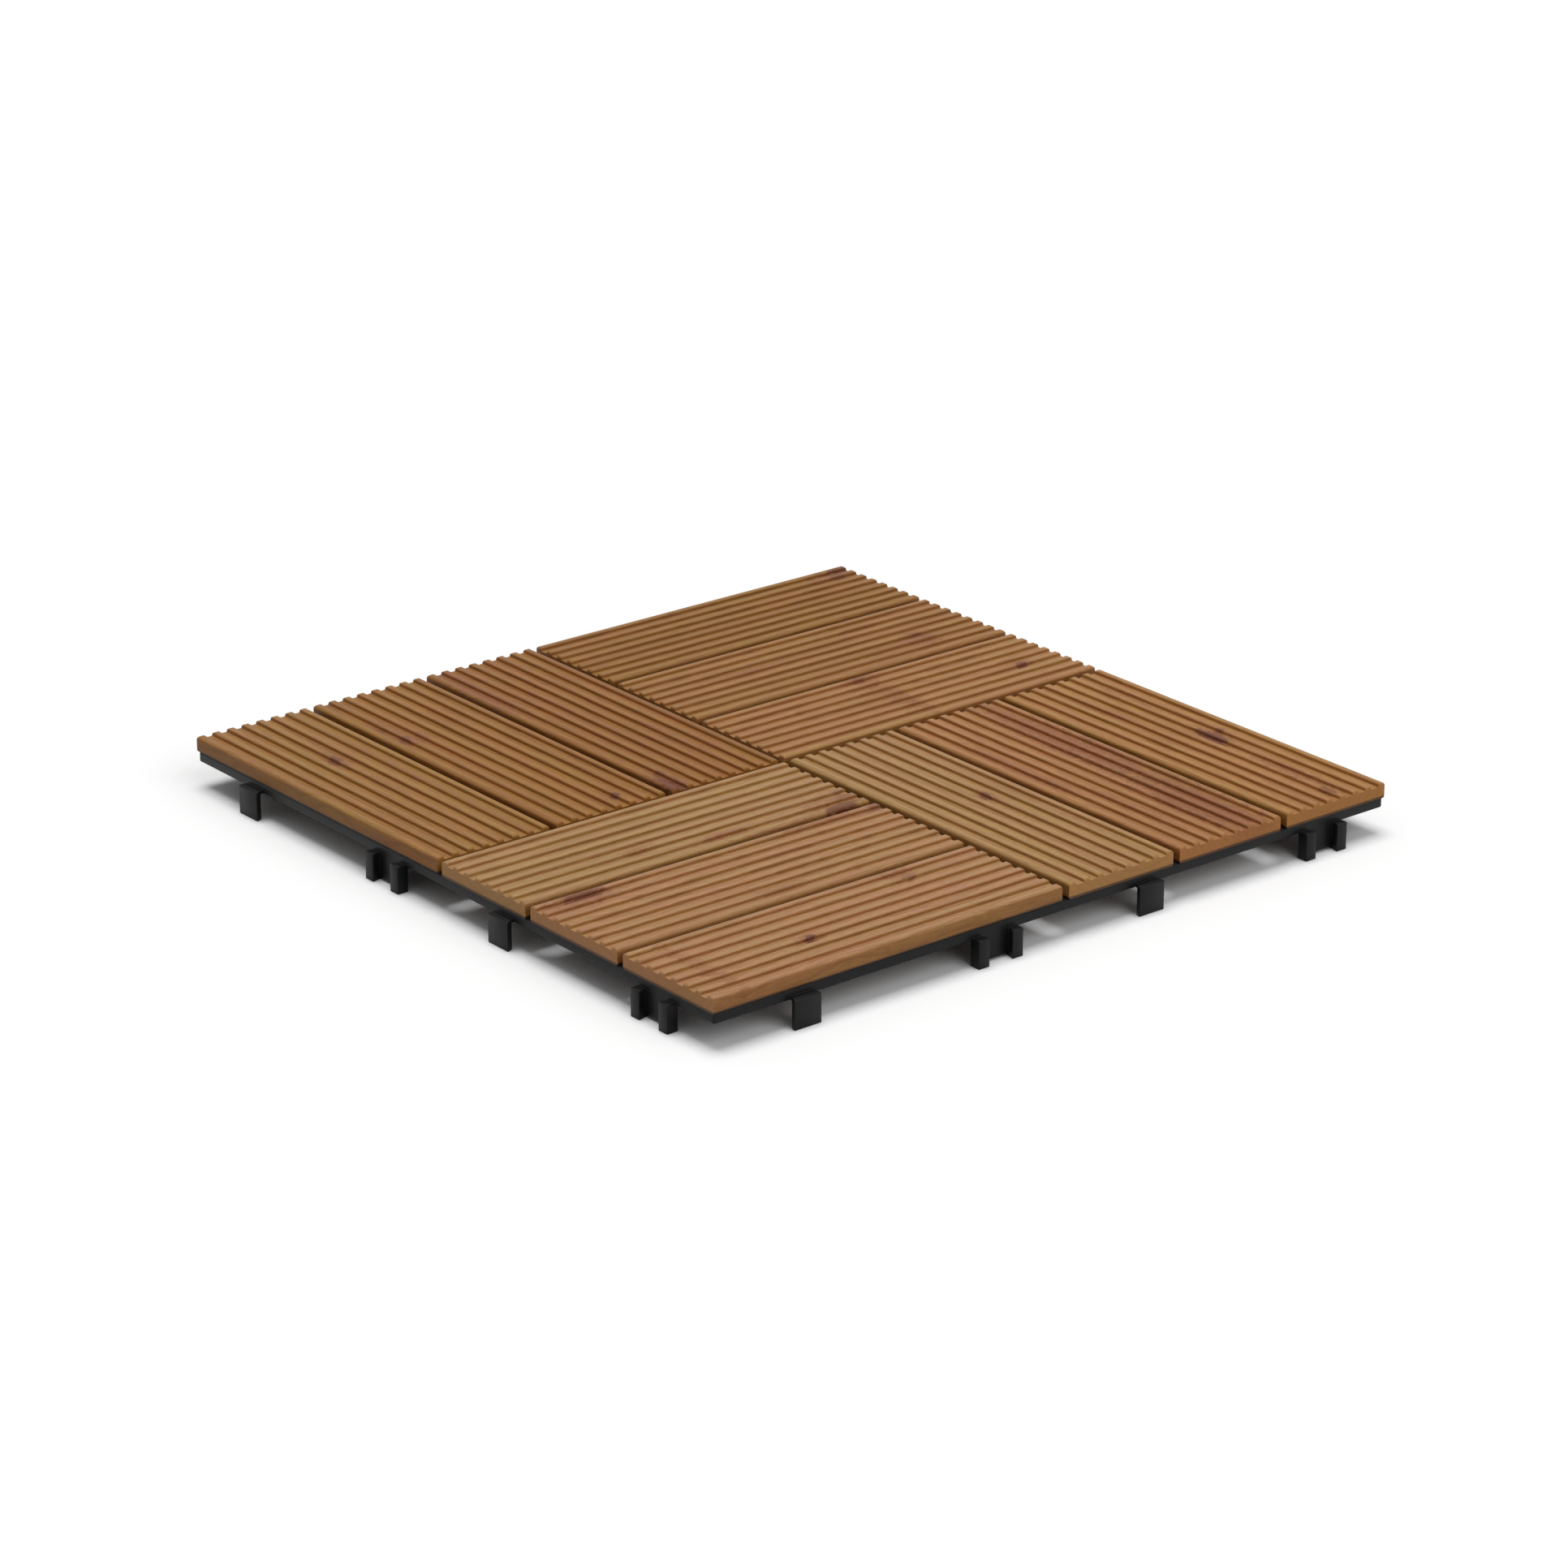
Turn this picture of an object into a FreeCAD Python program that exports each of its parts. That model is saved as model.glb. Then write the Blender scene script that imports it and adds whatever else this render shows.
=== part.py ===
import FreeCAD, Part
import math
import os

# Interlocking deck tile: twelve grooved wooden slats on one moulded plastic grid
# Millimetres, +Z up, origin under the tile's centre in the plane of the connector tips it stands on
# Front is -Y and left is -X

# Slats
TILE_SIDE = 300.0
SLATS_PER_QUARTER = 3
SLAT_GAP = 3.0
SLAT_WIDTH = (TILE_SIDE - (2 * SLATS_PER_QUARTER - 1) * SLAT_GAP) / (2 * SLATS_PER_QUARTER)
SLAT_LENGTH = (TILE_SIDE - SLAT_GAP) / 2
SLAT_THICKNESS = 5.9
SLAT_EDGE_BEVEL = 0.7
GROOVE_COUNT = 7
GROOVE_PITCH = 6.3
GROOVE_DEPTH = 1.3
GROOVE_MOUTH = 3.7
GROOVE_FLOOR = 3.3

# Moulded grid
GRID_THICKNESS = 3.6
GRID_SETBACK = 0.4
RIM_WIDTH = 2.6
RIB_WIDTH = 2.8
POSTS_TO_RIM = 6
GRID_SIDE = TILE_SIDE - 2 * GRID_SETBACK
POST_PITCH = (GRID_SIDE - RIM_WIDTH) / (2 * POSTS_TO_RIM)
CORNER_RIB = 2 * POSTS_TO_RIM - 1

# Hollow posts under the crossings of the ribs: round on the real tile, with few sides here as there are many
POST_SIDES = 6
POST_RADIUS = 2.8
POST_DROP = 4.4
BORE_SIDES = 4
BORE_RADIUS = 2.2
BORE_DEPTH = 5.6
BOSS_MARGIN = 0.05

# Tongues and sockets around the rim
CONNECTOR_DROP = 9.7
CONNECTOR_STEPS = (-116.5, -33.9, 33.9, 116.5)
CONNECTOR_SHIFT = 3.1
CONNECTOR_REACH = 3.2
DOVETAIL_SLOPE = 0.24
DOVETAIL_CLEARANCE = 0.1
TONGUE_HALF_WIDTH = 5.65
TONGUE_PLATE = 2.2
TONGUE_LEDGE = 1.2
TONGUE_LEAD_IN = 0.7
TONGUE_TOP_BEVEL = 0.6
SOCKET_HALF_WIDTH = 9.7
SOCKET_BACK = 1.3
SOCKET_BACK_RISE = 1.0
SOCKET_OVERLAP = 0.5
MATED_GAP = 0.2

# Levels
GRID_LOW = CONNECTOR_DROP
GRID_TOP = GRID_LOW + GRID_THICKNESS
SLAT_TOP = GRID_TOP + SLAT_THICKNESS
POST_LOW = GRID_LOW - POST_DROP

UP = FreeCAD.Vector(0, 0, 1)
ORIGIN = FreeCAD.Vector(0, 0, 0)


def polygon_face(points):
    return Part.Face(Part.makePolygon(points + [points[0]]))


def prism(sides, radius, low, high, x, y):
    """An upright prism with a flat side towards +X."""
    turns = [math.pi * (2 * side + 1) / sides for side in range(sides)]
    corners = [FreeCAD.Vector(x + radius * math.cos(t), y + radius * math.sin(t), low) for t in turns]
    return polygon_face(corners).extrude(UP * (high - low))


# Places of the posts
POST_RANGE = range(1 - POSTS_TO_RIM, POSTS_TO_RIM)
POST_PLACES = [(i * POST_PITCH, j * POST_PITCH) for i in POST_RANGE for j in POST_RANGE]


# Openings of the grid
RIB_REACH = RIB_WIDTH / math.sqrt(2)
OPENING_REACH = POST_PITCH / 2 - RIB_REACH
CORNER_CUT = POST_RADIUS + BOSS_MARGIN - RIB_REACH
DIRECTIONS = ((1, 0), (0, 1), (-1, 0), (0, -1))


def carries_post(i, j):
    """Whether the crossing at half-pitch indices i, j has a post."""
    limit = 2 * (POSTS_TO_RIM - 1)
    return i % 2 == 0 and j % 2 == 0 and abs(i) <= limit and abs(j) <= limit


def diamond(i, j):
    """A square opening standing on its corner, cut off where it points at a post."""
    x, y = i * POST_PITCH / 2, j * POST_PITCH / 2
    points = []
    for dx, dy in DIRECTIONS:
        cut = CORNER_CUT if carries_post(i + dx, j + dy) else 0.0
        ends = (-cut, cut) if cut else (0.0,)
        for end in ends:
            out = OPENING_REACH - cut
            points.append(FreeCAD.Vector(x + dx * out - dy * end, y + dy * out + dx * end, GRID_LOW))
    return points


def rim_triangle(j, turn):
    """Half an opening against the inner face of the rim, on the side reached by turning from +X."""
    rim_inner = GRID_SIDE / 2 - RIM_WIDTH
    rim_centre = POSTS_TO_RIM * POST_PITCH
    half_base = OPENING_REACH - (rim_centre - rim_inner)
    y = j * POST_PITCH / 2
    apex = rim_centre - OPENING_REACH
    flat = [(rim_inner, y - half_base), (rim_inner, y + half_base), (apex, y)]
    rotation = FreeCAD.Rotation(UP, turn)
    return [rotation.multVec(FreeCAD.Vector(px, py, GRID_LOW)) for px, py in flat]


def grid_plate():
    """The rim, ribs and corner gussets as one pierced plate."""
    half = GRID_SIDE / 2
    corners = ((-half, -half), (half, -half), (half, half), (-half, half))
    outlines = [[FreeCAD.Vector(x, y, GRID_LOW) for x, y in corners]]
    span = range(-CORNER_RIB, CORNER_RIB + 1)
    for i in span:
        for j in span:
            if (i + j) % 2 and abs(i) + abs(j) < 2 * CORNER_RIB:
                outlines.append(diamond(i, j))
    for turn in (0, 90, 180, 270):
        for j in range(2 - CORNER_RIB, CORNER_RIB, 2):
            outlines.append(rim_triangle(j, turn))
    wires = [Part.makePolygon(points + [points[0]]) for points in outlines]
    return Part.makeFace(wires, "Part::FaceMakerCheese").extrude(UP * GRID_THICKNESS)


# Connectors are drawn on the front rim: d is the distance outwards from its face, towards -Y
def dovetail_half_width(d):
    """Half the tongue's width at distance d from the face of its own rim."""
    return TONGUE_HALF_WIDTH - DOVETAIL_SLOPE * (CONNECTOR_REACH - d)


def plan_point(x, d, z=0.0):
    return FreeCAD.Vector(x, -GRID_SIDE / 2 - d, z)


def tongue():
    """A dovetail plate hanging from a ledge under the rim, with a slot behind it."""
    slot = CONNECTOR_REACH - TONGUE_PLATE
    top = GRID_LOW + TONGUE_LEDGE
    root = -RIM_WIDTH / 2
    side = [
        (root, GRID_LOW),
        (slot, GRID_LOW),
        (slot, TONGUE_LEAD_IN),
        (slot + TONGUE_LEAD_IN, 0.0),
        (CONNECTOR_REACH, 0.0),
        (CONNECTOR_REACH, top - TONGUE_TOP_BEVEL),
        (CONNECTOR_REACH - TONGUE_TOP_BEVEL, top),
        (root, top),
    ]
    width = 2 * TONGUE_HALF_WIDTH
    profile = polygon_face([plan_point(-TONGUE_HALF_WIDTH, d, z) for d, z in side])
    blank = profile.extrude(FreeCAD.Vector(width, 0, 0))
    near, far = dovetail_half_width(root), dovetail_half_width(CONNECTOR_REACH)
    plan = [plan_point(-near, root), plan_point(near, root)]
    plan += [plan_point(far, CONNECTOR_REACH), plan_point(-far, CONNECTOR_REACH)]
    return blank.common(polygon_face(plan).extrude(UP * top))


def socket():
    """A back plate under the rim with two flanges that close on the next tile's tongue."""
    far_reach = MATED_GAP + CONNECTOR_REACH
    mouth = dovetail_half_width(far_reach - CONNECTOR_REACH) + DOVETAIL_CLEARANCE
    deep = dovetail_half_width(far_reach) + DOVETAIL_CLEARANCE
    plan = [
        plan_point(-SOCKET_HALF_WIDTH, -SOCKET_BACK),
        plan_point(SOCKET_HALF_WIDTH, -SOCKET_BACK),
        plan_point(SOCKET_HALF_WIDTH, CONNECTOR_REACH),
        plan_point(mouth, CONNECTOR_REACH),
        plan_point(deep, 0.0),
        plan_point(-deep, 0.0),
        plan_point(-mouth, CONNECTOR_REACH),
        plan_point(-SOCKET_HALF_WIDTH, CONNECTOR_REACH),
    ]
    body = polygon_face(plan).extrude(UP * (GRID_LOW + SOCKET_OVERLAP))
    corner = plan_point(-deep, 0.0)
    foot = Part.makeBox(2 * deep, SOCKET_BACK, SOCKET_BACK_RISE, corner)
    return body.cut(foot)


def connectors():
    """Tongue and socket in turn along each side, so that opposite sides answer each other."""
    placed = []
    shapes = (tongue(), socket())
    for turn, shift in ((0, 1), (90, -1), (180, -1), (270, 1)):
        for index, step in enumerate(CONNECTOR_STEPS):
            piece = shapes[index % 2].copy()
            piece.translate(FreeCAD.Vector(step + shift * CONNECTOR_SHIFT, 0, 0))
            piece.rotate(ORIGIN, UP, turn)
            placed.append(piece)
    return placed


def base_grid():
    bore_top = POST_LOW + BORE_DEPTH
    posts = [prism(POST_SIDES, POST_RADIUS, POST_LOW, GRID_LOW, x, y) for x, y in POST_PLACES]
    bores = [prism(BORE_SIDES, BORE_RADIUS, POST_LOW, bore_top, x, y) for x, y in POST_PLACES]
    return grid_plate().fuse(posts + connectors()).cut(bores).removeSplitter()


# Slats
def slat_outline():
    """The slat's section across its length: flat below, grooved above, long edges bevelled."""
    half = SLAT_WIDTH / 2
    bevel = SLAT_EDGE_BEVEL
    floor = SLAT_TOP - GROOVE_DEPTH
    section = [(half, GRID_TOP), (half, SLAT_TOP - bevel), (half - bevel, SLAT_TOP)]
    for index in range(GROOVE_COUNT):
        centre = ((GROOVE_COUNT - 1) / 2 - index) * GROOVE_PITCH
        section.append((centre + GROOVE_MOUTH / 2, SLAT_TOP))
        section.append((centre + GROOVE_FLOOR / 2, floor))
        section.append((centre - GROOVE_FLOOR / 2, floor))
        section.append((centre - GROOVE_MOUTH / 2, SLAT_TOP))
    section += [(bevel - half, SLAT_TOP), (-half, SLAT_TOP - bevel), (-half, GRID_TOP)]
    return polygon_face([FreeCAD.Vector(0, y, z) for y, z in section])


def slat(turn, row):
    """One slat of a quarter, counted outwards from the tile's middle."""
    inner = SLAT_GAP / 2
    across = inner + SLAT_WIDTH / 2 + row * (SLAT_WIDTH + SLAT_GAP)
    body = slat_outline().extrude(FreeCAD.Vector(SLAT_LENGTH, 0, 0))
    body.translate(FreeCAD.Vector(inner, across, 0))
    body.rotate(ORIGIN, UP, turn)
    return body


# The slats of neighbouring quarters cross, those of opposite quarters run the same way
QUARTERS = (("back_right", 0), ("back_left", 90), ("front_left", 180), ("front_right", 270))

# Export
os.makedirs("parts", exist_ok=True)
base_grid().exportStep("parts/base_grid.step")
for quarter, turn in QUARTERS:
    for row in range(SLATS_PER_QUARTER):
        slat(turn, row).exportStep("parts/slat_%s_%d.step" % (quarter, row + 1))
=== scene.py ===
import math

import bmesh
import bpy
import numpy as np
from mathutils import Matrix, Vector
from mathutils.geometry import delaunay_2d_cdt


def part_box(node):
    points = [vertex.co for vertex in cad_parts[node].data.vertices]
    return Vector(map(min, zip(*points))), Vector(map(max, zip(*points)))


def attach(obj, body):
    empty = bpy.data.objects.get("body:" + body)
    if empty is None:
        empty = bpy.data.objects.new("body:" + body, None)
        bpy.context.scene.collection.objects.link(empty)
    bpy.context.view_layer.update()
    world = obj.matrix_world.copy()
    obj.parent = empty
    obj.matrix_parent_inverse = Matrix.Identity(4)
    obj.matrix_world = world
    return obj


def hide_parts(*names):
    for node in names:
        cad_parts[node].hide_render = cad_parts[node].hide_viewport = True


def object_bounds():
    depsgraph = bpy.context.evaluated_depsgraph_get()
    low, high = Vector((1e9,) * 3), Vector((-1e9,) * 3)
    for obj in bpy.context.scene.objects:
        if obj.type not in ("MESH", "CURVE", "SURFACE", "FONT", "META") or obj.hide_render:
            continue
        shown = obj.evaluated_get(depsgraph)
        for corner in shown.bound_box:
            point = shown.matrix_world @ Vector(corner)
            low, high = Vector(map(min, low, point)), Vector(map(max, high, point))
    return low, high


# Interlocking deck tile: grooved wooden slats on a black moulded grid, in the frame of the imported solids
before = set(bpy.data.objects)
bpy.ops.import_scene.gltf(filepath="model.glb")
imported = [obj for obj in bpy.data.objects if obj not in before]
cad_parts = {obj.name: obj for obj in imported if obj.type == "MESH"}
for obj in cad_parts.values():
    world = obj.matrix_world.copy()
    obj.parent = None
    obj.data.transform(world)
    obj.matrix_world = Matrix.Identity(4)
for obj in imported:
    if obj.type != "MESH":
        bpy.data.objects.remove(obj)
cad_low, cad_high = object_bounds()
MM = 0.001
ARC_STEPS = 4
SMOOTH_BELOW = 34.0
PLAN_TOLERANCE = 1e-4
QUARTER_TURN = math.pi / 2

# Grid sizes in millimetres, the same as the solids
GRID_SIDE = 299.2
RIM_WIDTH = 2.6
RIB_WIDTH = 2.8
POSTS_TO_RIM = 6
PITCH = (GRID_SIDE - RIM_WIDTH) / (2 * POSTS_TO_RIM)
CORNER_RIB = 2 * POSTS_TO_RIM - 1
RIM_INNER = GRID_SIDE / 2 - RIM_WIDTH
RIB_REACH = RIB_WIDTH / math.sqrt(2)
OPENING_REACH = PITCH / 2 - RIB_REACH
GUSSET_REACH = CORNER_RIB * PITCH - RIB_REACH
GRID_LOW = 9.7
GRID_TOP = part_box("base_grid")[1].z / MM
POST_RADIUS = 2.8
POST_LOW = 5.3
POST_SIDES = 28
BORE_RADIUS = 1.85
BORE_TOP = 10.9
BORE_SIDES = 20
BOSS_REACH = 2.85
RIB_GROOVE_WIDTH = 0.95
RIB_GROOVE_DEPTH = 0.8
RIM_ROUNDING = 0.5
CORNER_ROUNDING = 0.9
WELD_DISTANCE = 1e-6

# Tongues and sockets, the same as the solids
CONNECTOR_STEPS = (-116.5, -33.9, 33.9, 116.5)
CONNECTOR_SHIFT = 3.1
CONNECTOR_REACH = 3.2
DOVETAIL_SLOPE = 0.24
DOVETAIL_CLEARANCE = 0.1
TONGUE_HALF_WIDTH = 5.65
TONGUE_PLATE = 2.2
TONGUE_TOP = 10.9
TONGUE_LEAD_IN = 0.7
TONGUE_TOP_BEVEL = 0.6
LEDGE_RISE = 0.05
LEDGE_ROUNDING = 0.1
SOCKET_HALF_WIDTH = 9.7
SOCKET_BACK = 1.3
SOCKET_BACK_RISE = 1.0
SOCKET_TOP = 10.2
MATED_GAP = 0.2
EDGE_ROUNDING = 0.3
SOCKET_BACK_ROUNDING = 0.15
SIDE_SHIFTS = (1, -1, -1, 1)

# Slat sizes in millimetres
GROOVE_COUNT = 7
GROOVE_PITCH = 6.3
GROOVE_DEPTH = 1.3
GROOVE_MOUTH = 3.7
GROOVE_FLOOR = 3.3
RIDGE_ROUNDING = 0.5
GROOVE_ROUNDING = 0.25
SLAT_EDGE_ROUNDING = 1.3
SLAT_FOOT_ROUNDING = 0.8
SLAT_END_ROUNDING = 0.8


# Meshes
def rotated(points, turn):
    c, s = math.cos(turn), math.sin(turn)
    return [(x * c - y * s, x * s + y * c) for x, y in points]


def ring(x, y, radius, sides):
    turns = [2 * math.pi * k / sides for k in range(sides)]
    return [(x + radius * math.cos(t), y + radius * math.sin(t)) for t in turns]


def rounded_square(half, radius):
    turns = [QUARTER_TURN * k / ARC_STEPS for k in range(ARC_STEPS + 1)]
    middle = half - radius
    corner = [(middle + radius * math.cos(t), middle + radius * math.sin(t)) for t in turns]
    return [point for quarter in range(4) for point in rotated(corner, quarter * QUARTER_TURN)]


def new_object(name, mesh):
    """An object with smooth shading across its shallow edges."""
    mesh.polygons.foreach_set("use_smooth", [True] * len(mesh.polygons))
    mesh.set_sharp_from_angle(angle=math.radians(SMOOTH_BELOW))
    piece = bpy.data.objects.new(name, mesh)
    bpy.context.scene.collection.objects.link(piece)
    return piece


def divided_plan(outlines):
    """Points and triangles of a plan divided along closed outlines, each triangle turning left."""
    points, edges = [], []
    for outline in outlines:
        first = len(points)
        points += [Vector(p) for p in outline]
        edges += [(k, k + 1) for k in range(first, len(points) - 1)]
        edges.append((len(points) - 1, first))
    flat, _, triangles, *_ = delaunay_2d_cdt(points, edges, [], 0, PLAN_TOLERANCE, False)
    plan = np.array([v[:] for v in flat])
    tri = np.array(triangles)
    a, b, c = plan[tri[:, 0]], plan[tri[:, 1]], plan[tri[:, 2]]
    area = (b[:, 0] - a[:, 0]) * (c[:, 1] - a[:, 1]) - (b[:, 1] - a[:, 1]) * (c[:, 0] - a[:, 0])
    tri[area < 0] = tri[area < 0][:, ::-1]
    return plan, tri


def layered_mesh(name, outlines, level_at, top, outer_wall=True):
    """A flat-topped body whose lower side steps between levels, its plan divided by the outlines."""
    plan, tri = divided_plan(outlines)
    centre = plan[tri].sum(axis=1) / 3
    level = level_at(centre[:, 0], centre[:, 1])
    owner = {}
    for index, (p, q, r) in enumerate(tri.tolist()):
        owner[p, q] = owner[q, r] = owner[r, p] = index
    corners, faces, numbers = [], [], {}

    def corner(vertex, z):
        key = (vertex, round(z, 4))
        if key not in numbers:
            numbers[key] = len(corners)
            corners.append((plan[vertex][0] * MM, plan[vertex][1] * MM, z * MM))
        return numbers[key]

    for index, (p, q, r) in enumerate(tri.tolist()):
        low = level[index]
        if np.isnan(low):
            continue
        faces.append((corner(r, low), corner(q, low), corner(p, low)))
        faces.append((corner(p, top), corner(q, top), corner(r, top)))
        for start, end in ((p, q), (q, r), (r, p)):
            beside = owner.get((end, start))
            if beside is None and not outer_wall:
                continue
            above = top if beside is None or np.isnan(level[beside]) else level[beside]
            if above > low:
                wall = ((start, low), (end, low), (end, above), (start, above))
                faces.append(tuple(corner(vertex, z) for vertex, z in wall))
    mesh = bpy.data.meshes.new(name)
    mesh.from_pydata(corners, [], faces)
    return mesh


def prism_mesh(name, outline, low, high, rounding=EDGE_ROUNDING):
    """An upright prism with its edges rounded off."""
    body = bmesh.new()
    base = body.faces.new([body.verts.new((x * MM, y * MM, low * MM)) for x, y in outline])
    raised = bmesh.ops.extrude_face_region(body, geom=[base])["geom"]
    moved = [v for v in raised if isinstance(v, bmesh.types.BMVert)]
    bmesh.ops.translate(body, verts=moved, vec=(0, 0, (high - low) * MM))
    bmesh.ops.recalc_face_normals(body, faces=body.faces)
    bmesh.ops.bevel(
        body, geom=list(body.edges), offset=rounding * MM, segments=2, profile=0.5, affect="EDGES"
    )
    mesh = bpy.data.meshes.new(name)
    body.to_mesh(mesh)
    body.free()
    return mesh


# The moulded grid
def carries_post(i, j):
    """Whether the crossing at half-pitch indices i, j has a post."""
    limit = 2 * (POSTS_TO_RIM - 1)
    return i % 2 == 0 and j % 2 == 0 and abs(i) <= limit and abs(j) <= limit


def diamond(i, j):
    """A square opening on its corner, cut off where it points at a post."""
    outline = []
    for dx, dy in ((1, 0), (0, 1), (-1, 0), (0, -1)):
        cut = BOSS_REACH - RIB_REACH if carries_post(i + dx, j + dy) else 0.0
        out = OPENING_REACH - cut
        for end in (-cut, cut) if cut else (0.0,):
            outline.append((i * PITCH / 2 + dx * out - dy * end, j * PITCH / 2 + dy * out + dx * end))
    return outline


def rim_triangle(j):
    """Half an opening against the rim on the +X side."""
    centre = POSTS_TO_RIM * PITCH
    half_base = OPENING_REACH - (centre - RIM_INNER)
    y = j * PITCH / 2
    return [(RIM_INNER, y - half_base), (RIM_INNER, y + half_base), (centre - OPENING_REACH, y)]


def rib_groove(k):
    """Outline of the groove under rib k of those that run from front right to back left."""
    along = min(2 * RIM_INNER - abs(k) * PITCH, GUSSET_REACH)
    half = RIB_GROOVE_WIDTH / math.sqrt(2)
    across = k * PITCH
    ends = ((-half, -along), (half, -along), (half, along), (-half, along))
    return [((across + s + t) / 2, (across + s - t) / 2) for s, t in ends]


def rim_outline(inset):
    """The grid's outer outline, moved inwards."""
    return rounded_square(GRID_SIDE / 2 - inset, CORNER_ROUNDING - inset)


def rim_face():
    """The rim's outer face, with its upper and lower edges rounded."""
    turns = [QUARTER_TURN * k / ARC_STEPS for k in range(ARC_STEPS + 1)]
    arc = [(RIM_ROUNDING * (1 - math.sin(t)), RIM_ROUNDING * (1 - math.cos(t))) for t in turns]
    levels = [(inset, GRID_LOW + rise) for inset, rise in arc]
    levels += [(inset, GRID_TOP - rise) for inset, rise in reversed(arc)]
    corners = [(x * MM, y * MM, z * MM) for inset, z in levels for x, y in rim_outline(inset)]
    count = len(corners) // len(levels)
    faces = []
    for first in range(0, len(corners) - count, count):
        for k in range(count):
            after = (k + 1) % count
            faces.append((first + k, first + after, first + count + after, first + count + k))
    mesh = bpy.data.meshes.new("rim_face")
    mesh.from_pydata(corners, [], faces)
    return mesh


def grid_outlines():
    """The lines along which the grid's lower level changes."""
    outlines = [rim_outline(RIM_ROUNDING)]
    span = range(-CORNER_RIB, CORNER_RIB + 1)
    whole = [(i, j) for i in span for j in span if (i + j) % 2 and abs(i) + abs(j) < 2 * CORNER_RIB]
    outlines += [diamond(i, j) for i, j in whole]
    for quarter in range(4):
        for j in range(2 - CORNER_RIB, CORNER_RIB, 2):
            outlines.append(rotated(rim_triangle(j), quarter * QUARTER_TURN))
    for k in range(1 - CORNER_RIB, CORNER_RIB):
        outlines.append(rib_groove(k))
        outlines.append([(x, -y) for x, y in rib_groove(k)])
    for i in range(1 - POSTS_TO_RIM, POSTS_TO_RIM):
        for j in range(1 - POSTS_TO_RIM, POSTS_TO_RIM):
            outlines.append(ring(i * PITCH, j * PITCH, POST_RADIUS, POST_SIDES))
            outlines.append(ring(i * PITCH, j * PITCH, BORE_RADIUS, BORE_SIDES))
    return outlines


def grid_levels(x, y):
    """The grid's lower level over each point of its plan, or nan where it is open."""
    rib_s, rib_t = (x + y) / PITCH, (x - y) / PITCH
    off_s = np.abs(rib_s - np.round(rib_s)) * PITCH / math.sqrt(2)
    off_t = np.abs(rib_t - np.round(rib_t)) * PITCH / math.sqrt(2)
    inside_rim = (np.abs(x) < RIM_INNER) & (np.abs(y) < RIM_INNER)
    inside = inside_rim & (np.abs(x) + np.abs(y) < GUSSET_REACH)
    last = POSTS_TO_RIM - 1
    from_x = x - np.clip(np.round(x / PITCH), -last, last) * PITCH
    from_y = y - np.clip(np.round(y / PITCH), -last, last) * PITCH
    boss = (np.abs(from_x) < BOSS_REACH) & (np.abs(from_y) < BOSS_REACH)
    level = np.full(len(x), GRID_LOW)
    half_groove = RIB_GROOVE_WIDTH / 2
    level[inside & ((off_s < half_groove) | (off_t < half_groove))] = GRID_LOW + RIB_GROOVE_DEPTH
    level[inside & (off_s > RIB_WIDTH / 2) & (off_t > RIB_WIDTH / 2) & ~boss] = np.nan
    radius = np.hypot(from_x, from_y)
    level[radius < POST_RADIUS * math.cos(math.pi / POST_SIDES)] = POST_LOW
    level[radius < BORE_RADIUS] = BORE_TOP
    return level


def dovetail_half_width(d):
    """Half the tongue's width at distance d outwards from the face of its own rim."""
    return TONGUE_HALF_WIDTH - DOVETAIL_SLOPE * (CONNECTOR_REACH - d)


def front_outline(pairs):
    """Turns pairs of x and distance outwards from the front rim into plan points."""
    return [(x, -GRID_SIDE / 2 - d) for x, d in pairs]


def tongue_meshes():
    """A dovetail plate with a lead-in at its tip, and the ledge that it hangs from."""
    slot = CONNECTOR_REACH - TONGUE_PLATE
    near, far = dovetail_half_width(slot), TONGUE_HALF_WIDTH
    root = dovetail_half_width(-SOCKET_BACK)
    plate = front_outline([(-near, slot), (-far, CONNECTOR_REACH), (far, CONNECTOR_REACH), (near, slot)])
    ledge_reach = slot + TONGUE_PLATE / 2
    ledge = [(-root, -SOCKET_BACK), (-near, ledge_reach), (near, ledge_reach), (root, -SOCKET_BACK)]
    plate_mesh = prism_mesh("tongue_plate", plate, 0.0, TONGUE_TOP)
    for vertex in plate_mesh.vertices:
        outward = -GRID_SIDE / 2 - vertex.co.y / MM
        lowest = slot + TONGUE_LEAD_IN - outward
        highest = TONGUE_TOP + CONNECTOR_REACH - TONGUE_TOP_BEVEL - outward
        vertex.co.z = min(max(vertex.co.z, lowest * MM), highest * MM)
    ledge_low = GRID_LOW + LEDGE_RISE
    ledge_mesh = prism_mesh("tongue_ledge", front_outline(ledge), ledge_low, TONGUE_TOP, LEDGE_ROUNDING)
    return [plate_mesh, ledge_mesh]


def socket_meshes():
    """Two flanges that close on the next tile's tongue, and the back plate between them."""
    mouth = dovetail_half_width(MATED_GAP) + DOVETAIL_CLEARANCE
    deep = dovetail_half_width(MATED_GAP + CONNECTOR_REACH) + DOVETAIL_CLEARANCE
    wide = SOCKET_HALF_WIDTH
    meshes = []
    for side in (-1, 1):
        flange = [(side * mouth, CONNECTOR_REACH), (side * deep, 0.0), (side * deep, -SOCKET_BACK)]
        flange += [(side * wide, -SOCKET_BACK), (side * wide, CONNECTOR_REACH)]
        meshes.append(prism_mesh("socket_flange", front_outline(flange), 0.0, SOCKET_TOP))
    sunk = deep + EDGE_ROUNDING
    back = front_outline([(-sunk, -SOCKET_BACK), (sunk, -SOCKET_BACK), (sunk, 0.0), (-sunk, 0.0)])
    meshes.append(prism_mesh("socket_back", back, SOCKET_BACK_RISE, SOCKET_TOP, SOCKET_BACK_ROUNDING))
    return meshes


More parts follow.
